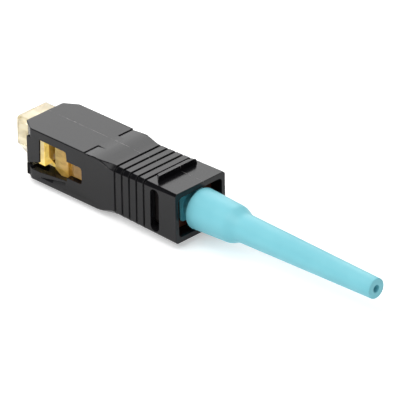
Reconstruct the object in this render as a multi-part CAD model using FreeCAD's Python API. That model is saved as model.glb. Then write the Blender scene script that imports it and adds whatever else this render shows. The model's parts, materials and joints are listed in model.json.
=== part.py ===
import FreeCAD, Part
import math
import os

# Field-terminated SC fibre connector, millimetres.
# X runs along the fibre: the mating end is towards -X and the boot towards +X.
# The origin is on the ferrule's axis, in the plane of the plug frame's nose face. +Z is up.

# Outer shell, the push-pull sleeve
shell_width = 9.0
shell_height = 7.4
shell_length = 28.3
nose_reach = 2.4
front_block_length = 14.0
lead_half = 3.25
lead_length = 1.9
under_lead = 0.5
lead_edge = 0.2
lead_round = 0.8
edge_chamfer = 0.06
shoulder_length = 3.2
shoulder_steps = 6
grip_drop = 0.15
collar_rise = 0.05
grip_corner = 0.63
collar_corner = 0.3
groove_count = 5
groove_pitch = 1.305
groove_width = 0.34
groove_floor = 0.18
groove_depth = 0.2
side_wall = 0.85
top_wall = 0.3
rear_side_wall = 0.6
rear_top_wall = 0.75
slot_width = 1.52
slot_corner = 0.7
slot_length = 6.0
slot_lead = 1.0
rear_corner = 0.6
ridge_half = 3.56
ridge_rise = 0.78
ridge_ramp = 0.6
ridge_length = 1.46
ridge_fall = 0.25
ridge_draft = 0.23
ridge_round = 0.3
stop_step = 0.15
shell_travel = 1.5

# Side window and latch release features of the shell
window_front = 3.52
window_length = 5.0
window_top = 2.5
window_bottom = 2.2
window_tail_length = 2.76
window_tail_half = 1.17
window_corner = 0.35
post_reach = 1.2
post_top = 2.35
post_depth = 0.7
web_length = 1.2
web_top = 1.95
web_gap = 0.2
post_low = 1.54
post_slant = 0.73
post_edge = 0.2
sill_rise = 0.55
ramp_front = 3.7
ramp_length = 4.55
ramp_floor = 3.0
ramp_top = 2.0
ramp_tip = 2.9
ramp_depth = 0.5

# Clip notches on the upper face and the key under the shell
notch_start = 11.72
notch_length = 1.55
notch_depth = 0.14
notch_inner = 1.8
key_width = 3.2
key_height = 0.75
key_length = 9.0
key_start = 2.4
key_lead = 0.5

# Plug frame, the clear amber inner body
frame_height = 6.6
frame_length = 16.95
nose_width = 5.6
nose_radius = 0.55
nose_lead = 0.12
bevel_start = 0.65
bevel_half = 0.86
bevel_radius = 0.4
front_body_length = 10.03
frame_gap = 0.65
body_inset = 0.35
body_chamfer = 0.4
nose_bore = 2.3
nose_bore_depth = 6.0
stop_wall = 1.0
stop_bore = 1.85
spring_bore = 2.35
spring_bore_end = 11.9
rear_bore = 2.7
catch_start = 3.7
catch_ramp = 1.1
catch_end = 5.93
catch_half = 1.72
side_root = 0.5
plate_start = 7.6
plate_half = 2.75
plate_cut_low = 1.57
plate_cut_length = 2.22
lug_length = 2.5
lug_room = 0.15
lug_half = 0.95
lug_height = 0.7
lug_toe = 0.23
lug_ramp = 0.7

# Ferrule and the fibre bonded in it
ferrule_radius = 1.25
ferrule_reach = 1.4
ferrule_length = 10.6
ferrule_lead = 0.55
ferrule_tip_radius = 0.75
ferrule_seat_step = 0.2
ferrule_funnel = 0.62
fibre_radius = 0.0625

# Ferrule holder
flange_radius = 2.2
flange_length = 1.2
flange_flat = 1.95
barrel_radius = 1.8
chamber_radius = 1.1
plank_room = 0.2
crimp_grip = 2.4
lip_radius = 1.93
lip_length = 0.25

# Splice planks and cam
plank_length = 6.4
plank_groove = 0.2
plank_rib_width = 0.7
plank_rib_rise = 0.04
cam_length = 7.0
cam_wall = 0.33
cam_throw = 0.13
cam_flat = 2.05
cam_flat_length = 1.5
cam_front_room = 0.3

# Ferrule spring
wire_radius = 0.18
wire_sides = 8
spring_turns = 5
closed_turns = 1
coil_gap = 0.02
turn_stations = 12
float_travel = 1.2

# Backbone
seat_length = 0.8
seat_bore = 2.05
cam_bore = 2.3
tail_bore = 1.05
snap_inset = 2.85
snap_length = 1.1
snap_half = 0.85
snap_rise = 0.38
collar_length = 1.05
tail_length = 4.6
tail_radius = 1.4
barb_rise = 0.2
barb_length = 1.1
barrel_room = 0.3
wrench_half = 1.3
wrench_room = 0.2

# Crimp tube and the lead-in tube inside it
crimp_radius = 0.95
crimp_wall = 0.33
crimp_length = 17.6
buffer_bore = 0.48
funnel_bore = 0.16
funnel_length = 1.6

# Boot
boot_length = 32.43
boot_flange_length = 0.35
boot_neck_length = 1.54
boot_neck_radius = 1.75
boot_flange_half_y = 2.06
boot_flange_half_z = 1.9
boot_flange_corner = 0.6
boot_base_radius = 2.82
boot_shoulder_radius = 2.54
boot_cone_length = 6.35
boot_shoulder_length = 1.4
boot_blend = 2.5
boot_waist_radius = 1.93
boot_tip_radius = 1.39
boot_tip_lead = 0.15
boot_bore = 0.5
crimp_bore = 1.2
crimp_room = 1.6

# Clearances
slide_gap = 0.1
seat_gap = 0.05
snug_gap = 0.05
turn_gap = 0.07

# Overshoot of a cutting shape past the face it cuts
over = 1.0

# Places along the axis that several pieces share
shell_back = nose_reach + shell_length
block_end = nose_reach + front_block_length
shoulder_end = block_end + shoulder_length
half_width = shell_width / 2
half_height = shell_height / 2
cavity_half_y = half_width - side_wall
cavity_half_z = half_height - top_wall
post_front = nose_reach + post_reach
window_start = nose_reach + window_front
window_back = window_start + window_length
window_tail = window_back + window_tail_length
flange_seat = nose_bore_depth + stop_wall
flange_front = flange_seat + seat_gap
ferrule_seat_radius = ferrule_radius - ferrule_seat_step
flange_back = flange_front + flange_length
spring_seat = spring_bore_end + slide_gap
cam_front = spring_seat + seat_length + cam_front_room
cam_back = cam_front + cam_length
plank_start = cam_front + (cam_length - plank_length) / 2
plank_end = plank_start + plank_length
chamber_end = plank_end + plank_room
barrel_end = chamber_end + crimp_grip
crimp_start = chamber_end + snug_gap
crimp_end = crimp_start + crimp_length
cam_bore_end = barrel_end + float_travel + barrel_room
first_groove = shoulder_end + groove_width / 2
groove_end = first_groove + (groove_count - 1) * groove_pitch + groove_width / 2
slot_front = groove_end + slot_lead
slot_back = slot_front + slot_width
collar_front = slot_front + shell_travel + slide_gap
collar_back = collar_front + collar_length
boot_front = collar_back + seat_gap
grip_half_z = half_height - grip_drop
rear_half_z = grip_half_z + collar_rise
rear_cavity_y = half_width - rear_side_wall
rear_cavity_z = rear_half_z - rear_top_wall
collar_half_y = rear_cavity_y - slide_gap
collar_half_z = rear_cavity_z - slide_gap
neck_hole_y = collar_half_y - stop_step
neck_hole_z = collar_half_z - stop_step
frame_half_z = frame_height / 2
half_nose = nose_width / 2
bevel_slope = (half_nose - bevel_half) / (frame_half_z - bevel_start)
body_half_y = cavity_half_y - body_inset


def v(x, y, z):
    return FreeCAD.Vector(x, y, z)


def outline(points, place):
    """Closed wire through corner points (u, w, radius), each corner rounded by a tangent arc."""
    count = len(points)
    starts = []
    arcs = []
    for i in range(count):
        u, w, radius = points[i]
        here = v(u, w, 0)
        before = v(*points[i - 1][:2], 0) - here
        after = v(*points[(i + 1) % count][:2], 0) - here
        if radius == 0:
            starts.append((here, here))
            arcs.append(None)
            continue
        turn = before.getAngle(after)
        reach = radius / math.tan(turn / 2)
        before.normalize()
        after.normalize()
        bisector = before + after
        bisector.normalize()
        middle = here + bisector * (radius / math.sin(turn / 2) - radius)
        starts.append((here + before * reach, here + after * reach))
        arcs.append(middle)
    edges = []
    for i in range(count):
        begin, end = starts[i]
        if arcs[i] is not None:
            edges.append(Part.Arc(place(begin), place(arcs[i]), place(end)).toShape())
        follow = starts[(i + 1) % count][0]
        if (follow - end).Length > 1e-6:
            edges.append(Part.LineSegment(place(end), place(follow)).toShape())
    return Part.Wire(edges)


def along_x(points, x0, x1):
    """Solid from a (y, z, radius) outline, drawn from x0 to x1."""
    wire = outline(points, lambda p: v(x0, p.x, p.y))
    return Part.Face(wire).extrude(v(x1 - x0, 0, 0))


def along_y(points, y0, y1):
    """Solid from an (x, z, radius) outline, drawn from y0 to y1."""
    wire = outline(points, lambda p: v(p.x, y0, p.y))
    return Part.Face(wire).extrude(v(0, y1 - y0, 0))


def along_z(points, z0, z1):
    """Solid from an (x, y, radius) outline, drawn from z0 to z1."""
    wire = outline(points, lambda p: v(p.x, p.y, z0))
    return Part.Face(wire).extrude(v(0, 0, z1 - z0))


def block(x0, x1, half_y, half_z, radius=0.0):
    """Bar along the axis with a rounded rectangular section."""
    corners = [(-half_y, -half_z), (half_y, -half_z), (half_y, half_z), (-half_y, half_z)]
    return along_x([(y, z, radius) for y, z in corners], x0, x1)


def box(x0, x1, y0, y1, z0, z1):
    return Part.makeBox(x1 - x0, y1 - y0, z1 - z0, v(x0, y0, z0))


def rod(x0, x1, radius):
    return Part.makeCylinder(radius, x1 - x0, v(x0, 0, 0), v(1, 0, 0))


def cone(x0, x1, radius0, radius1):
    return Part.makeCone(radius0, radius1, x1 - x0, v(x0, 0, 0), v(1, 0, 0))


def turned(points):
    """Solid of revolution about the axis from an (x, r, radius) outline."""
    wire = outline(points, lambda p: v(p.x, 0, p.y))
    return Part.Face(wire).revolve(v(0, 0, 0), v(1, 0, 0), 360)


def flip_y(shape):
    return shape.mirror(v(0, 0, 0), v(0, 1, 0))


def flip_z(shape):
    return shape.mirror(v(0, 0, 0), v(0, 0, 1))


def both_sides(shape):
    return [shape, flip_y(shape)]


def octagon(x, half_y, half_z, corner):
    """Section of the grip at x: a rectangle with its corners cut at 45 degrees."""
    ring = [
        (half_y, half_z - corner), (half_y - corner, half_z),
        (corner - half_y, half_z), (-half_y, half_z - corner),
        (-half_y, corner - half_z), (corner - half_y, -half_z),
        (half_y - corner, -half_z), (half_y, corner - half_z),
    ]
    return Part.makePolygon([v(x, y, z) for y, z in ring + ring[:1]])


def smooth(share):
    """Even rise from 0 to 1 that starts and ends level."""
    return share * share * (3 - 2 * share)


def grip_section(x, depth):
    """Section of the tapered grip at x, sunk by depth where a groove runs round it."""
    share = (x - shoulder_end) / (shell_back - shoulder_end)
    half_z = grip_half_z + collar_rise * share - depth
    corner = grip_corner + (collar_corner - grip_corner) * share
    return octagon(x, half_width - depth, half_z, corner - depth * (2 - math.sqrt(2)))


def shell_front_block():
    """Block with a slanted lead at each front corner and under the front edge."""
    side = [
        (nose_reach, lead_half, lead_edge), (nose_reach + lead_length, half_width, lead_round),
        (block_end, half_width, 0),
    ]
    other = [(x, -y, radius) for x, y, radius in reversed(side)]
    plain = along_z(side + other, -half_height, half_height)
    rims = [
        e for e in plain.Edges
        if abs(abs(e.CenterOfMass.z) - half_height) < 1e-6 and e.CenterOfMass.x < block_end - 1e-6
    ]
    under = along_y(
        [
            (nose_reach - over, -half_height - over, 0), (nose_reach + under_lead, -half_height - over, 0),
            (nose_reach + under_lead, -half_height, 0), (nose_reach, under_lead - half_height, 0),
            (nose_reach - over, under_lead - half_height, 0),
        ],
        -half_width - over, half_width + over,
    )
    return plain.makeChamfer(edge_chamfer, rims).cut(under)


def shell_grip():
    """Shoulder, ribbed grip and collar as one ruled loft: a rounded shoulder, then a groove at each pitch."""
    wires = []
    for i in range(shoulder_steps):
        x = block_end + shoulder_length * i / shoulder_steps
        share = smooth(i / shoulder_steps)
        corner = edge_chamfer + (grip_corner - edge_chamfer) * share
        wires.append(octagon(x, half_width, half_height - grip_drop * share, corner))
    for i in range(groove_count):
        middle = first_groove + i * groove_pitch
        for side in (-1, 1):
            lip = grip_section(middle + side * groove_width / 2, 0)
            floor = grip_section(middle + side * groove_floor / 2, groove_depth)
            wires += [lip, floor] if side < 0 else [floor, lip]
    wires.append(grip_section(shell_back, 0))
    return Part.makeLoft(wires, True, True)


def thumb_ridge():
    """Bar across the upper face behind the last groove: a ramp, a gently rising top and a steep back."""
    start = groove_end
    back = start + ridge_length
    foot = rear_half_z - rear_top_wall / 2
    share = (back - shoulder_end) / (shell_back - shoulder_end)
    plane = grip_half_z + collar_rise * share
    top = plane + ridge_rise
    bar = along_y(
        [
            (start, foot, 0), (start, plane - groove_depth, 0), (start + ridge_ramp, top - ridge_fall, 0),
            (back, top, 0), (back + ridge_draft, plane, 0), (back + ridge_draft, foot, 0),
        ],
        -ridge_half, ridge_half,
    )
    return bar.common(block(start - over, back + over, ridge_half, top, ridge_round))


def lead_post():
    """Flat post in front of one side window, proud of the slanted lead."""
    points = [
        (post_front, post_top, 0), (window_start, post_top, 0), (window_start, post_slant - post_low, 0),
        (post_front, -post_low, 0),
    ]
    return along_y(points, half_width - post_depth, half_width)


def corner_web():
    """Web in a lower front corner of the shell, which follows the nose's bevel."""
    low = -half_height + top_wall / 2
    outer = half_width - side_wall / 2
    edge_top = half_nose - bevel_slope * (web_top - bevel_start) + web_gap
    edge_low = half_nose - bevel_slope * (-low - bevel_start) + web_gap
    points = [(edge_top, -web_top, 0), (outer, -web_top, 0), (outer, low, 0), (edge_low, low, 0)]
    return along_x(points, nose_reach + lead_length - web_length, nose_reach + lead_length)


def side_window():
    """Cut through one side wall: gap under the post, window and its tail."""
    points = [
        (post_front, -post_low, 0),
        (window_start, post_slant - post_low, 0), (window_start, window_top, 0),
        (window_back, window_top, window_corner), (window_back, window_tail_half, 0),
        (window_tail, window_tail_half, window_corner), (window_tail, -window_tail_half, window_corner),
        (window_back, -window_tail_half, 0), (window_back, sill_rise - window_bottom, 0),
        (window_start, -window_bottom, 0), (post_front, -window_bottom, 0),
    ]
    return along_y(points, cavity_half_y - side_wall, half_width + side_wall)


def post_relief():
    """Slanted cut behind the post, which leaves it a thin rear edge."""
    inner = cavity_half_y - slide_gap
    edge = half_width - post_edge
    points = [(window_start, edge, 0), (window_start, inner, 0), (window_start - edge + inner, inner, 0)]
    return along_z(points, -post_low, window_top)


def release_ramp():
    """Three-cornered pocket under the window, whose floor slopes in from its lower edge."""
    start = nose_reach + ramp_front
    end = start + ramp_length
    slope = along_x(
        [
            (half_width, -ramp_floor, 0), (half_width + over, -ramp_floor, 0),
            (half_width + over, -ramp_top, 0), (half_width - ramp_depth, -ramp_top, 0),
        ],
        start, end,
    )
    corners = [
        (start, -ramp_tip, 0), (start, -ramp_floor, 0), (end, -ramp_floor, 0), (end, -ramp_top, 0),
    ]
    return slope.common(along_y(corners, half_width - ramp_depth - over, half_width + over))


def clip_notch():
    """Shallow wedge in the upper face, open to the side, steep at its front."""
    start = nose_reach + notch_start
    points = [
        (start, half_height - notch_depth, 0), (start + notch_length, half_height, 0),
        (start + notch_length, half_height + notch_depth, 0), (start, half_height + notch_depth, 0),
    ]
    return along_y(points, notch_inner, half_width + notch_depth)


def make_outer_shell():
    solid = shell_front_block().fuse(shell_grip()).removeSplitter()
    key_front = nose_reach + key_start
    key_back = key_front + key_length
    key = along_y(
        [
            (key_front, -half_height + top_wall / 2, 0), (key_back, -half_height + top_wall / 2, 0),
            (key_back, -half_height - key_height, 0), (key_front + key_lead, -half_height - key_height, 0),
            (key_front, -half_height - key_height + key_lead, 0),
        ],
        -key_width / 2, key_width / 2,
    )
    solid = solid.fuse([key, thumb_ridge()] + both_sides(lead_post())).removeSplitter()
    step = frame_length + seat_gap
    cuts = [
        block(nose_reach - over, step, cavity_half_y, cavity_half_z),
        block(step - over, slot_front, neck_hole_y, neck_hole_z, rear_corner),
        block(slot_front, shell_back + over, rear_cavity_y, rear_cavity_z, rear_corner),
    ]
    cuts += both_sides(side_window())
    cuts += both_sides(post_relief())
    cuts += both_sides(release_ramp())
    cuts += both_sides(clip_notch())
    side_slot = along_y(
        [(x, z, slot_corner) for x, z in [
            (slot_front, -slot_length / 2), (slot_back, -slot_length / 2),
            (slot_back, slot_length / 2), (slot_front, slot_length / 2),
        ]],
        rear_cavity_y - rear_corner, half_width + slot_width,
    )
    cuts += both_sides(side_slot)
    return solid.cut(cuts).fuse(both_sides(corner_web())).removeSplitter()


def make_plug_frame():
    nose_outline = [
        (-half_nose, frame_half_z, nose_radius), (half_nose, frame_half_z, nose_radius),
        (half_nose, -bevel_start, bevel_radius), (bevel_half, -frame_half_z, bevel_radius),
        (-bevel_half, -frame_half_z, bevel_radius), (-half_nose, -bevel_start, bevel_radius),
    ]
    body_start = front_body_length + frame_gap
    nose = along_x(nose_outline, 0, body_start)
    rim = [e for e in nose.Edges if e.BoundBox.XMax < 1e-6]
    solid = nose.makeChamfer(nose_lead, rim)
    inset = body_chamfer
    body_outline = [
        (body_half_y, frame_half_z - inset, 0), (body_half_y - inset, frame_half_z, 0),
        (inset - body_half_y, frame_half_z, 0), (-body_half_y, frame_half_z - inset, 0),
        (-body_half_y, inset - frame_half_z, 0), (inset - body_half_y, -frame_half_z, 0),
        (body_half_y - inset, -frame_half_z, 0), (body_half_y, inset - frame_half_z, 0),
    ]
    solid = solid.fuse(along_x(body_outline, body_start, frame_length))
    catch_top = cavity_half_y - slide_gap
    root = half_nose - side_root
    catch = along_z(
        [
            (catch_start, root, 0), (catch_start, half_nose, 0), (catch_start + catch_ramp, catch_top, 0),
            (catch_end, catch_top, 0), (catch_end, root, 0),
        ],
        -catch_half, catch_half,
    )
    plate = along_y(
        [
            (plate_start, plate_half, 0), (front_body_length, plate_half, 0),
            (front_body_length, -plate_half, 0), (plate_start + plate_cut_length, -plate_half, 0),
            (plate_start, -plate_cut_low, 0),
        ],
        root, body_half_y,
    )
    lug_back = window_tail - lug_room
    lug_front = lug_back - lug_length
    lug = along_z(
        [
            (lug_front, body_half_y - snug_gap, 0), (lug_front, body_half_y + lug_toe, 0),
            (lug_front + lug_ramp, body_half_y + lug_height, 0), (lug_back, body_half_y + lug_height, 0),
            (lug_back, body_half_y - snug_gap, 0),
        ],
        -lug_half, lug_half,
    )
    for piece in (catch, plate, lug):
        solid = solid.fuse(both_sides(piece))
    snap_front = frame_length - snap_inset
    snap_window = box(
        snap_front - slide_gap, snap_front + snap_length + slide_gap,
        -snap_half - slide_gap, snap_half + slide_gap, -half_height, half_height,
    )
    cuts = [
        rod(-over, nose_bore_depth, nose_bore),
        rod(-over, spring_bore_end, stop_bore),
        rod(flange_seat, spring_bore_end, spring_bore),
        rod(spring_bore_end, frame_length + over, rear_bore),
        snap_window,
    ]
    return solid.removeSplitter().cut(cuts)


def make_ferrule():
    """Ceramic rod with a tapered lead; its shoulder sits on the holder's flange."""
    front = -ferrule_reach
    back = front + ferrule_length
    body = turned([
        (front, 0, 0), (front, ferrule_tip_radius, 0), (front + ferrule_lead, ferrule_radius, 0),
        (flange_front, ferrule_radius, 0),
        (flange_front, ferrule_seat_radius, 0), (back, ferrule_seat_radius, 0), (back, 0, 0),
    ])
    funnel = cone(back - ferrule_funnel, back, fibre_radius, ferrule_funnel)
    return body.cut([rod(front - over, back + over, fibre_radius), funnel])


def make_fibre_stub():
    return rod(-ferrule_reach, (plank_start + plank_end) / 2, fibre_radius)


def make_ferrule_holder():
    ferrule_back = ferrule_length - ferrule_reach
    flange = rod(flange_front, flange_back, flange_radius)
    flats = block(flange_front - over, flange_back + over, flange_flat, flange_radius + over)
    barrel = rod(flange_front, barrel_end, barrel_radius)
    lips = [
        rod(cam_front - snug_gap - lip_length, cam_front - snug_gap, lip_radius),
        rod(cam_back + snug_gap, cam_back + snug_gap + lip_length, lip_radius),
    ]
    solid = flange.common(flats).fuse([barrel] + lips)
    rib_half = plank_rib_width / 2 + snug_gap
    plank_slot = box(plank_start - snug_gap, plank_end + snug_gap, -rib_half, rib_half, 0, flange_radius)
    cuts = [
        rod(flange_front - over, ferrule_back, ferrule_seat_radius),
        rod(ferrule_back, chamber_end, chamber_radius),
        rod(chamber_end, barrel_end + over, crimp_radius),
        plank_slot,
    ]
    return solid.removeSplitter().cut(cuts)


def plank_half():
    """Half of the splice: a half round bar with a fine V groove along its flat."""
    radius = chamber_radius - snug_gap
    upper = box(plank_start, plank_end, -radius, radius, snug_gap / 2, radius)
    tip = snug_gap / 2 + plank_groove
    vee = [(-plank_groove, 0, 0), (0, tip, 0), (plank_groove, 0, 0)]
    groove = along_x(vee, plank_start - over, plank_end + over)
    return rod(plank_start, plank_end, radius).common(upper).cut(groove)


def make_splice_plank_upper():
    top = barrel_radius + plank_rib_rise
    half = plank_rib_width / 2
    rib = box(plank_start, plank_end, -half, half, chamber_radius / 2, top)
    return plank_half().fuse(rib.common(rod(plank_start, plank_end, top))).removeSplitter()


def make_splice_plank_lower():
    return flip_z(plank_half())


def make_splice_cam():
    inner = barrel_radius + turn_gap
    outer = inner + cam_wall
    flat_start = cam_back - cam_flat_length
    flats = rod(flat_start, cam_back, outer).common(block(flat_start, cam_back, cam_flat, outer))
    sleeve = rod(cam_front, flat_start, outer).fuse(flats).removeSplitter()
    bore = rod(cam_front - over, cam_back + over, inner)
    throw = bore.translated(v(0, 0, cam_throw))
    return sleeve.cut([bore, throw])


def coil_advance(turn, height):
    """Distance along the axis after so many turns: close wound at both ends, evenly open between."""
    closed_pitch = 2 * wire_radius + coil_gap
    open_turns = spring_turns - 2 * closed_turns
    open_height = height - 2 * closed_turns * closed_pitch
    opened = min(max(turn - closed_turns, 0), open_turns)
    return closed_pitch * (turn - opened) + open_height * opened / open_turns


def make_float_spring():
    """Wire sections carried round the coil and joined by ruled faces."""
    start = flange_back + snug_gap + wire_radius
    height = spring_seat - snug_gap - wire_radius - start
    mean = spring_bore - snug_gap - wire_radius
    sections = []
    for station in range(spring_turns * turn_stations + 1):
        turn = station / turn_stations
        x = start + coil_advance(turn, height)
        ring = []
        for side in range(wire_sides):
            round_wire = 2 * math.pi * (side + 0.5) / wire_sides
            round_coil = 2 * math.pi * turn
            radius = mean + wire_radius * math.cos(round_wire)
            along = x + wire_radius * math.sin(round_wire)
            ring.append(v(along, radius * math.cos(round_coil), radius * math.sin(round_coil)))
        sections.append(Part.makePolygon(ring + ring[:1]))
    return Part.makeLoft(sections, True, True)


def make_backbone():
    """Spring seat, snap noses, collar and barbed tail; a cross window lets a wrench reach the cam's flats."""
    tube_radius = rear_bore - snug_gap
    shoulder = frame_length
    tail_end = collar_back + tail_length
    solid = rod(spring_seat, shoulder, tube_radius)
    solid = solid.fuse([
        block(shoulder, collar_front, neck_hole_y - slide_gap, neck_hole_z - slide_gap, rear_corner),
        block(collar_front, collar_back, collar_half_y, collar_half_z, rear_corner),
        rod(collar_back, tail_end, tail_radius),
        cone(tail_end - barb_length, tail_end, tail_radius + barb_rise, tail_radius),
    ])
    snap_front = frame_length - snap_inset
    snap_top = tube_radius + snap_rise
    snap = along_y(
        [
            (snap_front, tube_radius / 2, 0), (snap_front + snap_length, tube_radius / 2, 0),
            (snap_front + snap_length, snap_top, 0), (snap_front + snap_length / 2, snap_top, 0),
            (snap_front, tube_radius, 0),
        ],
        -snap_half, snap_half,
    )
    solid = solid.fuse([snap, flip_z(snap)]).removeSplitter()
    cuts = [
        rod(spring_seat - over, spring_seat + seat_length, seat_bore),
        rod(spring_seat + seat_length, cam_bore_end, cam_bore),
        rod(cam_bore_end, tail_end + over, tail_bore),
        box(
            cam_back - cam_flat_length - wrench_room, cam_back + float_travel,
            -half_width, half_width, -wrench_half, wrench_half,
        ),
    ]
    return solid.cut(cuts)


def make_crimp_tube():
    bore = rod(crimp_start - over, crimp_end + over, crimp_radius - crimp_wall)
    return rod(crimp_start, crimp_end, crimp_radius).cut(bore)


def make_lead_in_tube():
    body = rod(crimp_start, crimp_end, crimp_radius - crimp_wall)
    funnel_end = crimp_start + funnel_length
    cuts = [
        rod(crimp_start - over, crimp_end + over, funnel_bore),
        cone(crimp_start + snug_gap, funnel_end, funnel_bore, buffer_bore),
        rod(funnel_end, crimp_end + over, buffer_bore),
    ]
    return body.cut(cuts)


def make_boot():
    flange_back_x = boot_front + boot_flange_length
    base = flange_back_x + boot_neck_length
    cone_end = base + boot_cone_length
    waist = cone_end + boot_shoulder_length
    tip = boot_front + boot_length
    taper = turned([
        (flange_back_x, 0, 0), (flange_back_x, boot_neck_radius, 0), (base, boot_neck_radius, 0),
        (base, boot_base_radius, 0),
        (cone_end, boot_shoulder_radius, boot_blend), (waist, boot_waist_radius, boot_blend),
        (tip - boot_tip_lead, boot_tip_radius, 0), (tip, boot_tip_radius - boot_tip_lead, 0), (tip, 0, 0),
    ])
    flange = block(boot_front, flange_back_x, boot_flange_half_y, boot_flange_half_z, boot_flange_corner)
    tail_end = collar_back + tail_length
    room_end = crimp_end + crimp_room
    cuts = [
        rod(boot_front - over, tail_end + slide_gap, tail_radius + snug_gap),
        cone(
            tail_end - barb_length - snug_gap, tail_end + slide_gap,
            tail_radius + barb_rise + snug_gap, tail_radius + snug_gap,
        ),
        rod(tail_end - over, room_end, crimp_bore),
        rod(room_end, tip + over, boot_bore),
    ]
    return flange.fuse(taper).removeSplitter().cut(cuts)


makers = {
    "outer_shell": make_outer_shell,
    "plug_frame": make_plug_frame,
    "ferrule": make_ferrule,
    "fibre_stub": make_fibre_stub,
    "ferrule_holder": make_ferrule_holder,
    "splice_plank_upper": make_splice_plank_upper,
    "splice_plank_lower": make_splice_plank_lower,
    "splice_cam": make_splice_cam,
    "float_spring": make_float_spring,
    "backbone": make_backbone,
    "crimp_tube": make_crimp_tube,
    "lead_in_tube": make_lead_in_tube,
    "boot": make_boot,
}

os.makedirs("parts", exist_ok=True)
for name, make in makers.items():
    shape = make()
    shape.exportStep("parts/" + name + ".step")
    print(name, "solids", len(shape.Solids), "volume", round(shape.Volume, 3), "valid", shape.isValid())
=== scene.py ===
import json
import math

import bmesh
import bpy
import numpy as np
from mathutils import Matrix, Vector


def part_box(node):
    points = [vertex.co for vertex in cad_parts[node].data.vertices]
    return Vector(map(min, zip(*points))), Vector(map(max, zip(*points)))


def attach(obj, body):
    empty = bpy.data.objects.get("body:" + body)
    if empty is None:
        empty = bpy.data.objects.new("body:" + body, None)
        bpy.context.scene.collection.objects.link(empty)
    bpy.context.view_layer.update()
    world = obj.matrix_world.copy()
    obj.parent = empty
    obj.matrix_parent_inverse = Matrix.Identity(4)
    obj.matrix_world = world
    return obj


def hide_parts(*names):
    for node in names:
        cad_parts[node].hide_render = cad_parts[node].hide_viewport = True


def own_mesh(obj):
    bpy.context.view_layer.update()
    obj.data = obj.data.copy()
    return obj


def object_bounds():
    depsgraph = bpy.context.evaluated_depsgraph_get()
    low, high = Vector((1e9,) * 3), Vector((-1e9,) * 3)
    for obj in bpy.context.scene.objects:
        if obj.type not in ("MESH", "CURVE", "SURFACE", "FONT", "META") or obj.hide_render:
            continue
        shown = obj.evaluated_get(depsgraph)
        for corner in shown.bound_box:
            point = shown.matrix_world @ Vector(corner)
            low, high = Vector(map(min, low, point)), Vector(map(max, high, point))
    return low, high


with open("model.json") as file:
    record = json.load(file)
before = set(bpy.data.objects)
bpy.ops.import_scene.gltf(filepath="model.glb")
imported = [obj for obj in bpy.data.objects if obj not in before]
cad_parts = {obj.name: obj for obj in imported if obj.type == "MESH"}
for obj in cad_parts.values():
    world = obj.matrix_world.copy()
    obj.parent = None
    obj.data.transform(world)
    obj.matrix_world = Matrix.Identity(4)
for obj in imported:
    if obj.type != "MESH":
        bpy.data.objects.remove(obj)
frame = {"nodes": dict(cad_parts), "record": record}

mm = 0.001
tau = 2 * math.pi
nodes = frame["nodes"]
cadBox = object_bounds()


# Mesh helpers

def gridFaces(rows, cols):
    # quads of a grid that closes on itself both ways, row to row and column to column
    here = np.arange(rows)[:, None] * cols + np.arange(cols)[None, :]
    nextCol = np.roll(here, -1, axis=1)
    nextRow = np.roll(here, -1, axis=0)
    nextBoth = np.roll(nextRow, -1, axis=1)
    return np.stack([here, nextCol, nextBoth, nextRow], axis=-1).reshape(-1, 4)


def meshFromArrays(name, points, quads, smooth=True):
    # points (n, 3) in metres and quads (m, 4) go into a new mesh as whole arrays
    mesh = bpy.data.meshes.new(name)
    mesh.vertices.add(len(points))
    mesh.vertices.foreach_set("co", np.asarray(points, np.float32).ravel())
    mesh.loops.add(quads.size)
    mesh.loops.foreach_set("vertex_index", quads.astype(np.int32).ravel())
    mesh.polygons.add(len(quads))
    mesh.polygons.foreach_set("loop_start", np.arange(len(quads), dtype=np.int32) * 4)
    mesh.polygons.foreach_set("use_smooth", np.full(len(quads), smooth))
    mesh.update(calc_edges=True)
    mesh.validate()
    return mesh


def faceOutwards(mesh, sharpAngle):
    # doubles merge first, then the closed skin is turned to face outwards and keeps its sharp corners
    work = bmesh.new()
    work.from_mesh(mesh)
    bmesh.ops.remove_doubles(work, verts=work.verts, dist=1e-7)
    bmesh.ops.recalc_face_normals(work, faces=work.faces)
    work.to_mesh(mesh)
    work.free()
    mesh.set_sharp_from_angle(angle=math.radians(sharpAngle))


def bentLine(corners, steps):
    # straight runs through (x, r, radius, share) corners, each corner rounded by a tangent arc of its radius;
    # share is carried along unchanged, and the line closes on itself
    corners = np.array(corners, float)
    parts = []
    for i, (x, r, radius, share) in enumerate(corners):
        here = np.array((x, r))
        if radius == 0:
            parts.append(np.array([(x, r, share)]))
            continue
        before = corners[i - 1, :2] - here
        after = corners[(i + 1) % len(corners), :2] - here
        before /= np.linalg.norm(before)
        after /= np.linalg.norm(after)
        half = math.acos(np.clip(before @ after, -1, 1)) / 2
        middle = here + (before + after) / np.linalg.norm(before + after) * radius / math.sin(half)
        turn = np.linspace(half - math.pi / 2, math.pi / 2 - half, steps)[:, None]
        inward = (here - middle) / np.linalg.norm(here - middle)
        side = (after - before) / np.linalg.norm(after - before)
        arc = middle + radius * (np.cos(turn) * inward + np.sin(turn) * side)
        parts.append(np.column_stack([arc, np.full(steps, share)]))
    return np.vstack(parts)


def roundBox(angle, halfY, halfZ, corner):
    # distance from the axis to a rounded rectangle along each angle: the nearer flat side,
    # or the corner's arc where the ray passes between the two flats
    c, s = np.abs(np.cos(angle)), np.abs(np.sin(angle))
    flat = np.minimum(halfY / np.maximum(c, 1e-9), halfZ / np.maximum(s, 1e-9))
    a, b = halfY - corner, halfZ - corner
    inCorner = (flat * c > a - 1e-12) & (flat * s > b - 1e-12)
    arc = c * a + s * b + np.sqrt(np.maximum(corner ** 2 - (c * b - s * a) ** 2, 0))
    return np.where(inCorner, arc, flat)


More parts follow.
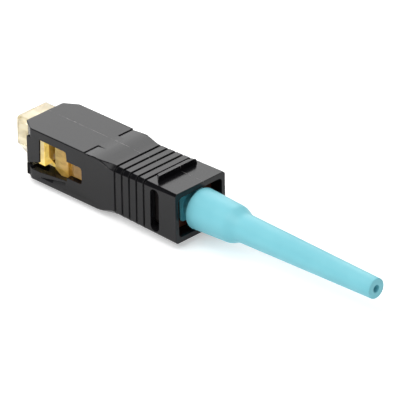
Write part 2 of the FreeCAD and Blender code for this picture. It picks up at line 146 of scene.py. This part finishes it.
def pointsOf(mesh):
    # the mesh's points as an (n, 3) array in metres
    points = np.empty(len(mesh.vertices) * 3, np.float32)
    mesh.vertices.foreach_get("co", points)
    return points.reshape(-1, 3)


def mergedCopy(nodeName, name, flatAngle):
    # the node's loose triangles, merged at their corners, with flat neighbours joined into one face
    mesh = nodes[nodeName].data.copy()
    mesh.name = name
    work = bmesh.new()
    work.from_mesh(mesh)
    bmesh.ops.remove_doubles(work, verts=work.verts, dist=1e-6)
    bmesh.ops.dissolve_limit(
        work, angle_limit=math.radians(flatAngle), verts=work.verts, edges=work.edges, delimit={"NORMAL"})
    work.to_mesh(mesh)
    work.free()
    if "custom_normal" in mesh.attributes:  # the joined faces get normals of their own
        mesh.attributes.remove(mesh.attributes["custom_normal"])
    mesh.polygons.foreach_set("use_smooth", np.full(len(mesh.polygons), True))
    return mesh


def weighEdges(mesh, skin):
    # bevel weight of an edge: 0 where it is gentle, very short or ends in a crisp place,
    # 1 on the bold edges, and the plain rounding's share of that on the rest
    work = bmesh.new()
    work.from_mesh(mesh)
    weight = work.edges.layers.float.new("bevel_weight_edge")
    for edge in work.edges:
        a, b = (np.array(vert.co) / mm for vert in edge.verts)
        isGentle = edge.calc_face_angle(0) < math.radians(skin["edgeAngle"])
        if isGentle or np.linalg.norm(b - a) < skin["shortest"] or skin["isCrisp"](a) and skin["isCrisp"](b):
            continue
        edge[weight] = 1 if skin["isBold"](a) and skin["isBold"](b) else skin["edge"] / skin["boldEdge"]
    work.to_mesh(mesh)
    work.free()


def roundEdges(piece, skin):
    bevel = piece.modifiers.new("roundEdges", "BEVEL")
    bevel.width = skin["boldEdge"] * mm
    bevel.segments = skin["segments"]
    bevel.limit_method = "WEIGHT"
    bevel.use_clamp_overlap = False
    bevel.harden_normals = True


def settleInside(piece, low, high):
    # the rounding becomes the mesh itself, and corners that it pushed out go back to the node's box
    mesh = bpy.data.meshes.new_from_object(piece.evaluated_get(bpy.context.evaluated_depsgraph_get()))
    piece.modifiers.clear()
    mesh.vertices.foreach_set("co", np.clip(pointsOf(mesh), low, high).astype(np.float32).ravel())
    mesh.update()
    piece.data = mesh


def addPiece(name, mesh, material, body, replaced=()):
    piece = bpy.data.objects.new(name, mesh)
    bpy.context.scene.collection.objects.link(piece)
    mesh.materials.clear()
    mesh.materials.append(material)
    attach(piece, body)
    if replaced:
        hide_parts(*replaced)
    return piece


# Material helpers

def newMaterial(name):
    material = bpy.data.materials.new(name)
    material.use_nodes = True
    tree = material.node_tree
    return material, tree, tree.nodes["Principled BSDF"]


def addNode(tree, kind, values=None, **settings):
    made = tree.nodes.new(kind)
    for key, value in settings.items():
        setattr(made, key, value)
    for key, value in (values or {}).items():
        made.inputs[key].default_value = value
    return made


def noiseOn(tree, coords, scale, detail=3.0, roughness=0.55):
    noise = addNode(tree, "ShaderNodeTexNoise", {"Scale": scale, "Detail": detail, "Roughness": roughness})
    tree.links.new(coords, noise.inputs["Vector"])
    return noise.outputs["Fac"]


def mapRange(tree, value, low, high, toLow, toHigh, smooth=False):
    made = addNode(
        tree, "ShaderNodeMapRange", {"From Min": low, "From Max": high, "To Min": toLow, "To Max": toHigh})
    made.interpolation_type = "SMOOTHSTEP" if smooth else "LINEAR"
    tree.links.new(value, made.inputs["Value"])
    return made.outputs["Result"]


def mixColours(tree, share, first, second):
    mix = addNode(tree, "ShaderNodeMix", data_type="RGBA")
    for socket, colour in (("A", first), ("B", second)):
        target = next(i for i in mix.inputs if i.name == socket and i.type == "RGBA")
        if isinstance(colour, tuple):
            target.default_value = (*colour, 1)
        else:
            tree.links.new(colour, target)
    tree.links.new(share, mix.inputs["Factor"])
    return next(o for o in mix.outputs if o.type == "RGBA")


def joined(tree, operation, first, second=None):
    made = addNode(tree, "ShaderNodeMath", operation=operation)
    for socket, value in zip(made.inputs, (first, second)):
        if isinstance(value, (int, float)):
            socket.default_value = value
        elif value is not None:
            tree.links.new(value, socket)
    return made.outputs[0]


def allOf(tree, share, *more):
    # the product of several shares
    for value in more:
        share = joined(tree, "MULTIPLY", share, value)
    return share


def rampOn(tree, value, stops):
    # colour along value, between stops of (place, colour)
    ramp = addNode(tree, "ShaderNodeValToRGB")
    elements = ramp.color_ramp.elements
    elements.remove(elements[1])
    for i, (place, colour) in enumerate(stops):
        stop = elements[0] if i == 0 else elements.new(place)
        stop.position = place
        stop.color = (*colour, 1)
    tree.links.new(value, ramp.inputs["Fac"])
    return ramp.outputs["Color"]


def bumpFrom(tree, height, shader, strength, distance):
    bump = addNode(tree, "ShaderNodeBump", {"Strength": strength, "Distance": distance})
    tree.links.new(height, bump.inputs["Height"])
    tree.links.new(bump.outputs["Normal"], shader.inputs["Normal"])


def objectCoords(tree):
    return addNode(tree, "ShaderNodeTexCoord").outputs["Object"]


def splitCoords(tree, coords):
    split = addNode(tree, "ShaderNodeSeparateXYZ")
    tree.links.new(coords, split.inputs["Vector"])
    return split.outputs["X"], split.outputs["Y"], split.outputs["Z"]


cloudSpan = (0.3, 0.7)  # a noise mostly stays between these


def cloudy(tree, cloud, low, high):
    return mapRange(tree, cloud, *cloudSpan, low, high)


# Finishes

grainLook = {"detail": 2.0, "strength": 0.2}
shellFinish = {
    "colour": (0.005, 0.005, 0.006), "dusty": (0.010, 0.0095, 0.011), "dustSpan": (0.35, 0.8),
    "roughness": (0.15, 0.21), "specular": 0.26, "cloudScale": 260,
    # the pale colour of the specks, and of the seam, where it is a painted highlight
    "grainScale": 14000, "grainDepth": 0.002 * mm, "speckAndSeamHighlight": (0.16, 0.155, 0.15),
    "seamPlace": 0.6 * mm, "seamWidth": (0.02 * mm, 0.06 * mm), "seamLevel": (3.3 * mm, 3.4 * mm),
    "seamScale": 1500, "seamGaps": (0.42, 0.62),
    "speckScale": 420, "speckSize": (0.035, 0.06), "speckShare": (0.90, 0.92),
    "pocketEnd": (8.3 * mm, 8.2 * mm), "pocketTop": (-1.9 * mm, -2.0 * mm),
    "pocketDepth": (4.497 * mm, 4.47 * mm), "dullSpecular": 0.04,
}


def blackShellMaterial():
    look = shellFinish
    material, tree, shader = newMaterial("blackShell")
    coords = objectCoords(tree)
    x, y, z = splitCoords(tree, coords)
    cloud = noiseOn(tree, coords, look["cloudScale"])
    dust = mapRange(tree, cloud, *look["dustSpan"], 0, 1)
    colour = mixColours(tree, dust, look["colour"], look["dusty"])
    # a broken mould seam along the upper face, drawn pale as a painted highlight, and a few pale specks
    aside = joined(tree, "ABSOLUTE", joined(tree, "SUBTRACT", y, look["seamPlace"]))
    seam = allOf(
        tree, mapRange(tree, aside, *look["seamWidth"], 1, 0), mapRange(tree, z, *look["seamLevel"], 0, 1),
        mapRange(tree, noiseOn(tree, coords, look["seamScale"]), *look["seamGaps"], 0, 1))
    cells = addNode(tree, "ShaderNodeTexVoronoi", {"Scale": look["speckScale"]})
    tree.links.new(coords, cells.inputs["Vector"])
    speck = allOf(
        tree, mapRange(tree, cells.outputs["Distance"], *look["speckSize"], 1, 0),
        mapRange(tree, cells.outputs["Color"], *look["speckShare"], 0, 1))
    colour = mixColours(tree, joined(tree, "MAXIMUM", seam, speck), colour, look["speckAndSeamHighlight"])
    tree.links.new(colour, shader.inputs["Base Color"])
    tree.links.new(cloudy(tree, cloud, *look["roughness"]), shader.inputs["Roughness"])
    # the sunk floor of the pocket below the window hardly shines
    dull = allOf(
        tree, mapRange(tree, x, *look["pocketEnd"], 0, 1), mapRange(tree, z, *look["pocketTop"], 0, 1),
        mapRange(tree, joined(tree, "ABSOLUTE", y), *look["pocketDepth"], 0, 1))
    shine = mapRange(tree, dull, 0, 1, look["specular"], look["dullSpecular"])
    tree.links.new(shine, shader.inputs["Specular IOR Level"])
    grain = noiseOn(tree, coords, look["grainScale"], grainLook["detail"])
    bumpFrom(tree, grain, shader, grainLook["strength"], look["grainDepth"])
    return material


amberFinish = {
    "bands": [  # by mm along the axis: nose, golden catch, dark recess in painted shade, tan plate darkened as painted shade, golden edge as painted light, brown lug
        (0.00, (0.95, 0.88, 0.68)), (2.40, (0.95, 0.86, 0.60)), (3.70, (1.00, 0.88, 0.52)),
        (4.70, (1.00, 0.86, 0.46)), (4.80, (1.00, 0.78, 0.22)), (5.94, (1.00, 0.76, 0.20)),
        (6.00, (0.26, 0.15, 0.02)), (7.50, (0.20, 0.11, 0.015)), (7.60, (0.70, 0.50, 0.12)),
        (9.00, (0.74, 0.48, 0.12)), (10.10, (0.80, 0.48, 0.09)), (10.20, (0.98, 0.62, 0.08)),
        (10.55, (0.95, 0.58, 0.07)), (10.70, (0.42, 0.23, 0.05)), (12.70, (0.46, 0.26, 0.06)),
    ],
    "rampEnd": 14 * mm, "brown": (0.30, 0.16, 0.03), "streaks": (0.46, 0.72), "mostStreak": 0.75,
    "streakScale": 900, "streakStretch": (0.5, 1, 1), "clearRange": (2.3 * mm, 3.6 * mm),
    "catchMiddle": 4.8 * mm, "catchSpan": (1.18 * mm, 1.12 * mm), "pale": (1.00, 0.90, 0.58),
    "paleSpan": (1.08 * mm, 1.03 * mm), "paleReach": (3.2 * mm, 3.3 * mm),
    "paleLevel": (-1.6 * mm, 0.6 * mm), "leastPale": 0.15, "carried": (0.07, 0.40),
    "transmission": (0.66, 0.25), "specular": (0.5, 0.25), "roughness": (0.05, 0.16), "ior": 1.53,
}


def amberFrameMaterial():
    look = amberFinish
    material, tree, shader = newMaterial("amberFrame")
    coords = objectCoords(tree)
    x, y, z = splitCoords(tree, coords)
    end = look["rampEnd"]
    # the recess and the plate are darkened here as painted shade, and the lug's front edge is brightened as
    # painted light
    stops = [(place * mm / end, colour) for place, colour in look["bands"]]
    bands = rampOn(tree, mapRange(tree, x, 0, end, 0, 1), stops)
    # the catch's outer face is paler towards its top
    aside = joined(tree, "ABSOLUTE", joined(tree, "SUBTRACT", x, look["catchMiddle"]))
    pale = allOf(
        tree, mapRange(tree, aside, *look["paleSpan"], 0, 1),
        mapRange(tree, joined(tree, "ABSOLUTE", y), *look["paleReach"], 0, 1),
        mapRange(tree, z, *look["paleLevel"], look["leastPale"], 1))
    bands = mixColours(tree, pale, bands, look["pale"])
    stretched = addNode(tree, "ShaderNodeMapping", {"Scale": look["streakStretch"]})
    tree.links.new(coords, stretched.inputs["Vector"])
    streak = noiseOn(tree, stretched.outputs["Vector"], look["streakScale"])
    inShell = mapRange(tree, x, *look["clearRange"], 0, 1, True)
    streaks = allOf(tree, mapRange(tree, streak, *look["streaks"], 0, look["mostStreak"]), inShell)
    tree.links.new(mixColours(tree, streaks, bands, look["brown"]), shader.inputs["Base Color"])
    tree.links.new(cloudy(tree, streak, *look["roughness"]), shader.inputs["Roughness"])
    for key, socket in (("transmission", "Transmission Weight"), ("specular", "Specular IOR Level")):
        tree.links.new(mapRange(tree, inShell, 0, 1, *look[key]), shader.inputs[socket])
    # a painted glow for the light that the clear plastic carries in from the nose and gives off in the window,
    # most at the catch
    onCatch = mapRange(tree, aside, *look["catchSpan"], *look["carried"])
    tree.links.new(allOf(tree, onCatch, inShell), shader.inputs["Emission Strength"])
    tree.links.new(bands, shader.inputs["Emission Color"])
    shader.inputs["IOR"].default_value = look["ior"]
    return material


# painted shade: the amber backbone sits in the shell's shadow, so it is coloured near black in front and a
# shaded dark red from 28.3 to 28.7 mm back
backboneFinish = {
    "dark": (0.006, 0.004, 0.004), "shadedRed": (0.10, 0.022, 0.008), "shadedRedRange": (28.3 * mm, 28.7 * mm),
    "shadedRedCloud": (0.6, 1), "roughness": (0.3, 0.45), "cloudScale": 600,
}


def amberBackboneMaterial():
    look = backboneFinish
    material, tree, shader = newMaterial("amberBackbone")
    coords = objectCoords(tree)
    x = splitCoords(tree, coords)[0]
    cloud = noiseOn(tree, coords, look["cloudScale"])
    # painted shade: near black in front, a shaded dark red behind, broken up by the cloud
    shadedRed = allOf(tree, mapRange(tree, x, *look["shadedRedRange"], 0, 1), cloudy(tree, cloud, *look["shadedRedCloud"]))
    tree.links.new(mixColours(tree, shadedRed, look["dark"], look["shadedRed"]), shader.inputs["Base Color"])
    tree.links.new(cloudy(tree, cloud, *look["roughness"]), shader.inputs["Roughness"])
    return material


bootFinish = {
    "colour": (0.243, 0.694, 0.791), "deep": (0.215, 0.650, 0.752), "roughness": (0.42, 0.52),
    "cloudScale": 180, "grainScale": 9000, "grainDepth": 0.006 * mm,
    # the flange colour is painted shade: a darker teal for the flange and neck, which sit deep in the shell's
    # rear opening
    "flange": (0.11, 0.55, 0.66), "flangeShadeRange": (29.3 * mm, 30.7 * mm),
}


def aquaBootMaterial():
    look = bootFinish
    material, tree, shader = newMaterial("aquaBoot")
    coords = objectCoords(tree)
    x = splitCoords(tree, coords)[0]
    cloud = noiseOn(tree, coords, look["cloudScale"])
    colour = mixColours(tree, cloudy(tree, cloud, 0, 1), look["colour"], look["deep"])
    # painted shade: darker teal at the front, fading out from 29.3 to 30.7 mm
    flangeShade = mapRange(tree, x, *look["flangeShadeRange"], 1, 0)
    tree.links.new(mixColours(tree, flangeShade, colour, look["flange"]), shader.inputs["Base Color"])
    tree.links.new(cloudy(tree, cloud, *look["roughness"]), shader.inputs["Roughness"])
    grain = noiseOn(tree, coords, look["grainScale"], grainLook["detail"])
    bumpFrom(tree, grain, shader, grainLook["strength"], look["grainDepth"])
    return material


mouldedBump = {"strength": 0.15, "distance": 0.005 * mm}


def plainMouldedMaterial(name, colour, shade, roughness, metallic=0.0, scale=600, stretch=(1, 1, 1)):
    # two close tones and a roughness range, drawn by one noise that may be stretched along the axis
    material, tree, shader = newMaterial(name)
    mapping = addNode(tree, "ShaderNodeMapping", {"Scale": stretch})
    tree.links.new(objectCoords(tree), mapping.inputs["Vector"])
    cloud = noiseOn(tree, mapping.outputs["Vector"], scale)
    tones = mixColours(tree, cloudy(tree, cloud, 0, 1), colour, shade)
    tree.links.new(tones, shader.inputs["Base Color"])
    tree.links.new(cloudy(tree, cloud, *roughness), shader.inputs["Roughness"])
    shader.inputs["Metallic"].default_value = metallic
    bumpFrom(tree, cloud, shader, **mouldedBump)
    return material


fibreFinish = {
    "colour": (0.90, 0.96, 0.98), "clear": (0.96, 0.98, 1.0), "cloudScale": 2000, "roughness": (0.02, 0.06),
    "transmission": 0.9, "ior": 1.46,
}


def fibreMaterial():
    look = fibreFinish
    material, tree, shader = newMaterial("fibreSilica")
    cloud = noiseOn(tree, objectCoords(tree), look["cloudScale"])
    tree.links.new(cloudy(tree, cloud, *look["roughness"]), shader.inputs["Roughness"])
    tree.links.new(mixColours(tree, cloud, look["colour"], look["clear"]), shader.inputs["Base Color"])
    shader.inputs["Transmission Weight"].default_value = look["transmission"]
    shader.inputs["IOR"].default_value = look["ior"]
    return material


finishes = {
    "black_shell": blackShellMaterial(),
    "amber_frame": amberFrameMaterial(),
    "aqua_boot": aquaBootMaterial(),
    "amber_backbone": amberBackboneMaterial(),
    "fibre_silica": fibreMaterial(),
    "ferrule_ceramic": plainMouldedMaterial(
        "ferruleCeramic", (0.88, 0.87, 0.83), (0.84, 0.83, 0.79), (0.08, 0.14)),
    "pale_resin": plainMouldedMaterial(
        "paleResin", (0.74, 0.70, 0.60), (0.68, 0.64, 0.54), (0.35, 0.5)),
    "splice_resin": plainMouldedMaterial(
        "spliceResin", (0.80, 0.82, 0.82), (0.74, 0.77, 0.78), (0.15, 0.25)),
    "spring_steel": plainMouldedMaterial(
        "springSteel", (0.56, 0.56, 0.57), (0.45, 0.45, 0.47), (0.2, 0.35), 1.0),
    "crimp_metal": plainMouldedMaterial(
        "crimpMetal", (0.62, 0.61, 0.58), (0.52, 0.51, 0.49), (0.25, 0.4), 1.0, 900, (0.08, 1, 1)),
}
slotOf = {part["node"]: part["material_slot"] for part in frame["record"]["subparts"]}
for nodeName, node in nodes.items():
    node.data.materials.clear()
    node.data.materials.append(finishes[slotOf[nodeName]])
print("finishes made:", len(finishes))


# Shell: the moulding with its edges rounded

shellSkin = {
    "flatAngle": 0.5, "edge": 0.06, "boldEdge": 0.17, "segments": 3, "edgeAngle": 30, "shortest": 0.25,
    "isBold": lambda p: p[0] < 18 and abs(p[1]) > 4.3 and p[2] > 3.2,  # long upper edges of the block
    "isCrisp": lambda p: 25.1 < p[0] < 27 and 2.1 < abs(p[1]) < 3.7 and p[2] > 3.4,  # ends of the thumb ridge
    "lip": 26.62, "lipFoot": 26.86, "lipTop": 4.30, "lipSteep": 0.15, "deck": 3.45,
    "rampFoot": 25.3, "endRange": (3.2, 3.6), "endSlant": 0.78,
}


def dressShell():
    s = shellSkin
    mesh = mergedCopy("outer_shell", "shellSkin", s["flatAngle"])
    points = pointsOf(mesh)
    x, y, z = points.T / mm
    inner, outer = s["endRange"]
    onRidge = (x > s["rampFoot"]) & (x < s["lipFoot"]) & (abs(y) < outer) & (z > s["deck"])
    # the thumb ridge's back stands steeper than the moulding's draft
    onBack = onRidge & (x > s["lip"]) & (z < s["lipTop"])
    points[onBack, 0] = (s["lip"] + (x[onBack] - s["lip"]) * s["lipSteep"]) * mm
    # and its ends run in at a slant towards the ramp's foot
    onEnd = onRidge & (abs(y) > inner)
    points[onEnd, 1] -= np.sign(y[onEnd]) * s["endSlant"] * (s["lipFoot"] - x[onEnd]) * mm
    mesh.vertices.foreach_set("co", points.ravel())
    mesh.update()
    mesh.set_sharp_from_angle(angle=math.radians(s["edgeAngle"]))
    for face in mesh.polygons:  # the ridge's ends stay plain flats
        face.use_smooth = not s["isCrisp"](face.center / mm)
    weighEdges(mesh, s)
    piece = addPiece("shellSkin", mesh, finishes["black_shell"], "shell", ["outer_shell"])
    roundEdges(piece, s)
    settleInside(piece, *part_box("outer_shell"))
    print("shell dressed:", len(piece.data.polygons), "faces,", (onBack | onEnd).sum(), "ridge points moved")


dressShell()


# Plug frame: the clear moulding with its edges rounded

frameSkin = {
    "flatAngle": 0.5, "edge": 0.06, "boldEdge": 0.06, "segments": 3, "edgeAngle": 30, "shortest": 0.2,
    "isBold": lambda p: True, "isCrisp": lambda p: False,  # all its edges are alike
}


def dressFrame():
    mesh = mergedCopy("plug_frame", "frameSkin", frameSkin["flatAngle"])
    mesh.set_sharp_from_angle(angle=math.radians(frameSkin["edgeAngle"]))
    weighEdges(mesh, frameSkin)
    piece = addPiece("frameSkin", mesh, finishes["amber_frame"], "frame", ["plug_frame"])
    roundEdges(piece, frameSkin)
    print("plug frame dressed:", len(mesh.polygons), "faces before its edges are rounded")


dressFrame()


# Boot: one soft moulding from the flange to the tip, with its stepped bore

bootShape = {
    "front": 28.86, "flangeBack": 29.21, "base": 30.75, "coneEnd": 37.10, "waist": 38.50, "tip": 61.29,
    "flangeHalf": (2.06, 1.9), "flangeCorner": 0.6, "flangeEdge": 0.12, "neck": 1.75, "neckFillet": 0.12,
    "baseRadius": 2.82, "baseEdge": 0.14, "coneRadius": 2.54, "waistRadius": 1.93, "coneBlend": 2.5,
    "tipRadius": 1.39, "tipEdge": 0.16, "boreEdge": 0.06, "bore": 0.5, "roomEnd": 39.25, "room": 1.2,
    "tailEnd": 33.51, "tail": 1.45, "barbStart": 32.26, "barb": 1.65,
    "leastCorner": 0.05, "columns": 128, "arcSteps": 7, "rowGap": 0.6, "sharpAngle": 40,
}


def moreRows(line, gap):
    # rows are added along each run of the profile that is longer than gap, evenly spaced
    ends = np.roll(line, -1, axis=0)
    counts = np.maximum(1, np.ceil(np.linalg.norm((ends - line)[:, :2], axis=1) / gap)).astype(int)
    start = np.repeat(line, counts, axis=0)
    run = np.repeat(ends - line, counts, axis=0)
    place = np.arange(counts.sum()) - np.repeat(np.cumsum(counts) - counts, counts)
    share = (place / np.repeat(counts, counts))[:, None]
    moved = start + run * share
    moved[:, 2] = start[:, 2]
    return moved


def makeBoot():
    # each row of the grid is the section at one place of the profile: round, or the flange's rounded rectangle
    # where share is 1; the columns go round the axis
    b = bootShape
    wide, high = b["flangeHalf"]
    line = bentLine([
        (b["front"], b["tail"], 0, 0),
        (b["front"], high, b["flangeEdge"], 1), (b["flangeBack"], high, b["flangeEdge"], 1),
        (b["flangeBack"], b["neck"], b["neckFillet"], 0), (b["base"], b["neck"], b["neckFillet"], 0),
        (b["base"], b["baseRadius"], b["baseEdge"], 0), (b["coneEnd"], b["coneRadius"], b["coneBlend"], 0),
        (b["waist"], b["waistRadius"], b["coneBlend"], 0), (b["tip"], b["tipRadius"], b["tipEdge"], 0),
        (b["tip"], b["bore"], b["boreEdge"], 0), (b["roomEnd"], b["bore"], 0, 0),
        (b["roomEnd"], b["room"], 0, 0), (b["tailEnd"], b["room"], 0, 0), (b["tailEnd"], b["tail"], 0, 0),
        (b["barbStart"], b["barb"], 0, 0), (b["barbStart"], b["tail"], 0, 0),
    ], b["arcSteps"])
    rows = moreRows(line, b["rowGap"])
    x, r, share = (rows[:, i, None] for i in range(3))
    angle = np.linspace(0, tau, b["columns"], endpoint=False)[None, :]
    halfY = r + share * (wide - high)
    corner = r * (1 - share) + share * np.maximum(r - high + b["flangeCorner"], b["leastCorner"])
    reach = roundBox(angle, halfY, r + 0 * halfY, corner)
    points = np.stack([x + 0 * reach, reach * np.cos(angle), reach * np.sin(angle)], axis=-1).reshape(-1, 3)
    mesh = meshFromArrays("bootSkin", points * mm, gridFaces(len(rows), b["columns"]))
    faceOutwards(mesh, b["sharpAngle"])
    addPiece("bootSkin", mesh, finishes["aqua_boot"], "frame", ["boot"])
    print("boot made:", len(mesh.polygons), "faces")


makeBoot()


# Ferrule: a turned ceramic rod with a domed end and the fibre's bore

ferruleShape = {
    "front": -1.4, "domeDrop": 0.02, "tipRadius": 0.75, "tipEdge": 0.05, "leadEnd": -0.85, "radius": 1.25,
    "leadEdge": 0.12, "seat": 7.05, "seatRadius": 1.05, "back": 9.2, "funnel": 0.62, "bore": 0.0625,
    "columns": 96, "arcSteps": 6, "rowGap": 0.5, "sharpAngle": 40,
}


def makeFerrule():
    # a closed profile turned about the axis: bore, domed end, tapered lead, rod, seat and funnel
    f = ferruleShape
    line = bentLine([
        (f["front"], f["bore"], 0, 0), (f["front"] + f["domeDrop"], f["tipRadius"], f["tipEdge"], 0),
        (f["leadEnd"], f["radius"], f["leadEdge"], 0), (f["seat"], f["radius"], 0, 0),
        (f["seat"], f["seatRadius"], 0, 0), (f["back"], f["seatRadius"], 0, 0), (f["back"], f["funnel"], 0, 0),
        (f["back"] - f["funnel"], f["bore"], 0, 0),
    ], f["arcSteps"])
    rows = moreRows(line, f["rowGap"])
    angle = np.linspace(0, tau, f["columns"], endpoint=False)[None, :]
    x, r = rows[:, 0, None], rows[:, 1, None]
    points = np.stack([x + 0 * angle, r * np.cos(angle), r * np.sin(angle)], axis=-1).reshape(-1, 3)
    mesh = meshFromArrays("ferruleRod", points * mm, gridFaces(len(rows), f["columns"]))
    faceOutwards(mesh, f["sharpAngle"])
    addPiece("ferruleRod", mesh, finishes["ferrule_ceramic"], "float", ["ferrule"])
    print("ferrule made:", len(mesh.polygons), "faces")


makeFerrule()


# Spring: round wire carried along the coil, close wound at both ends

springShape = {
    "start": 8.48, "end": 11.77, "mean": 2.12, "wire": 0.18, "turns": 5, "closedTurns": 1, "closedPitch": 0.38,
    "stations": 60, "sides": 16, "capRows": 4, "sharpAngle": 60, "fixedEnd": 12.0, "travel": 1.2,
}


def makeSpring():
    # the wire's circle stands square to the coil at each station; the coil's advance is slow over the closed
    # turns and even between them; the wire ends in a rounded cap, whose rows shrink to a point
    s = springShape
    turn = np.linspace(0, s["turns"], s["turns"] * s["stations"] + 1)
    openTurns = s["turns"] - 2 * s["closedTurns"]
    opened = np.clip(turn - s["closedTurns"], 0, openTurns)
    openPitch = (s["end"] - s["start"] - 2 * s["closedTurns"] * s["closedPitch"]) / openTurns
    x = s["start"] + s["closedPitch"] * (turn - opened) + openPitch * opened
    cap = np.linspace(0, 1, s["capRows"] + 1)
    shrink = np.sqrt(np.maximum(1 - cap ** 2, 0))
    size = np.concatenate([shrink[:0:-1], np.ones(len(turn)), shrink[1:]])
    x = np.concatenate([np.full(s["capRows"], x[0]), x, np.full(s["capRows"], x[-1])])
    extra = cap[1:] * s["wire"] / (tau * s["mean"])
    turn = np.concatenate([turn[0] - extra[::-1], turn, turn[-1] + extra])
    about = np.linspace(0, tau, s["sides"], endpoint=False)[None, :]
    radius = s["mean"] + s["wire"] * size[:, None] * np.cos(about)
    along = x[:, None] + s["wire"] * size[:, None] * np.sin(about)
    swing = tau * turn[:, None]
    points = np.stack([along, radius * np.cos(swing), radius * np.sin(swing)], axis=-1).reshape(-1, 3)
    quads = gridFaces(len(turn), s["sides"]).reshape(len(turn), -1, 4)[:-1].reshape(-1, 4)
    mesh = meshFromArrays("springCoil", points * mm, quads)
    faceOutwards(mesh, s["sharpAngle"])
    piece = addPiece("springCoil", mesh, finishes["spring_steel"], "frame", ["float_spring"])
    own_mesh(piece)
    print("spring made:", len(mesh.polygons), "faces")


makeSpring()


# Camera, fitted to the straight edges of the shell

viewFit = {
    "azimuth": 45.048, "elevation": 28.598, "roll": -0.948, "distance": 800.0, "shift": (-8.499, 2.937),
    "target": (18.65, 0.0, 0.0), "focalPixels": 6242.1, "imagePixels": 400, "sensor": 36.0,
    "clip": (0.01, 10),
}


def placeCamera():
    az, el, roll = (math.radians(viewFit[key]) for key in ("azimuth", "elevation", "roll"))
    right = Vector((math.cos(az), math.sin(az), 0))
    back = Vector((math.sin(az) * math.cos(el), -math.cos(az) * math.cos(el), math.sin(el)))
    up = back.cross(right)
    right, up = right * math.cos(roll) + up * math.sin(roll), up * math.cos(roll) - right * math.sin(roll)
    slideX, slideY = viewFit["shift"]
    place = Vector(viewFit["target"]) - right * slideX - up * slideY + back * viewFit["distance"]
    data = bpy.data.cameras.new("photoCamera")
    data.sensor_width = viewFit["sensor"]
    data.lens = viewFit["sensor"] * viewFit["focalPixels"] / viewFit["imagePixels"]
    data.clip_start, data.clip_end = viewFit["clip"]
    camera = bpy.data.objects.new("photoCamera", data)
    camera.matrix_world = Matrix.Translation(place * mm) @ Matrix((right, up, back)).transposed().to_4x4()
    bpy.context.scene.collection.objects.link(camera)
    bpy.context.scene.camera = camera
    print("camera placed")


placeCamera()


# Floor, world and lamps

studio = {
    "floorSize": 1.5, "floorGap": 0.01 * mm, "floorColour": (0.86, 0.86, 0.86), "floorRoughness": 0.9,
    "floorGlow": 0.42, "worldFill": 0.45, "horizonEnd": 0.12, "ceilingStart": 0.36, "ceiling": 0.02,
}
lamps = {
    "backSoftbox": {"place": (-130, 150, 150), "aim": (15, 0, 0), "size": 180, "power": 0.27},
    "topSoftbox": {"place": (10, -130, 215), "aim": (15, 0, 0), "size": 220, "power": 0.40},
}


def raysOn(tree):
    # 1 for what the camera sees straight or through clear plastic, and 1 for what shows in a reflection
    path = addNode(tree, "ShaderNodeLightPath")
    straight = joined(tree, "MAXIMUM", path.outputs["Is Camera Ray"], path.outputs["Is Transmission Ray"])
    return straight, path.outputs["Is Glossy Ray"]


def layFloor():
    half = studio["floorSize"] / 2
    low = cadBox[0].z - studio["floorGap"]
    corners = np.array([(-half, -half, low), (half, -half, low), (half, half, low), (-half, half, low)])
    mesh = meshFromArrays("floor", corners, np.array([[0, 1, 2, 3]]))
    material, tree, shader = newMaterial("paleFloor")
    shader.inputs["Base Color"].default_value = (*studio["floorColour"], 1)
    shader.inputs["Roughness"].default_value = studio["floorRoughness"]
    shader.inputs["Specular IOR Level"].default_value = 0.0
    shader.inputs["Emission Color"].default_value = (1, 1, 1, 1)
    glow = mapRange(tree, joined(tree, "MAXIMUM", *raysOn(tree)), 0, 1, 0, studio["floorGlow"])
    tree.links.new(glow, shader.inputs["Emission Strength"])
    mesh.materials.append(material)
    floor = bpy.data.objects.new("floor", mesh)
    bpy.context.scene.collection.objects.link(floor)


def lightWorld():
    world = bpy.data.worlds.new("studioWorld")
    bpy.context.scene.world = world
    world.use_nodes = True
    tree = world.node_tree
    background = tree.nodes["Background"]
    background.inputs["Color"].default_value = (1, 1, 1, 1)
    height = splitCoords(tree, addNode(tree, "ShaderNodeTexCoord").outputs["Generated"])[2]
    # white for the camera, white low down and dark overhead in reflections, and a soft fill for the rest
    straight, mirrored = raysOn(tree)
    room = mapRange(tree, height, studio["horizonEnd"], studio["ceilingStart"], 1, studio["ceiling"], True)
    light = addNode(tree, "ShaderNodeMix", {"A": studio["worldFill"]}, data_type="FLOAT")
    tree.links.new(mirrored, light.inputs["Factor"])
    tree.links.new(room, light.inputs["B"])
    tree.links.new(joined(tree, "MAXIMUM", light.outputs["Result"], straight), background.inputs["Strength"])


def hangLamps():
    for name, lamp in lamps.items():
        data = bpy.data.lights.new(name, "AREA")
        data.shape = "SQUARE"
        data.size = lamp["size"] * mm
        data.energy = lamp["power"]
        place = Vector(lamp["place"]) * mm
        aim = (place - Vector(lamp["aim"]) * mm).to_track_quat("Z", "Y")
        made = bpy.data.objects.new(name, data)
        made.matrix_world = Matrix.Translation(place) @ aim.to_matrix().to_4x4()
        bpy.context.scene.collection.objects.link(made)


layFloor()
lightWorld()
hangLamps()
bpy.context.scene.view_settings.view_transform = "Standard"
print("stage ready")
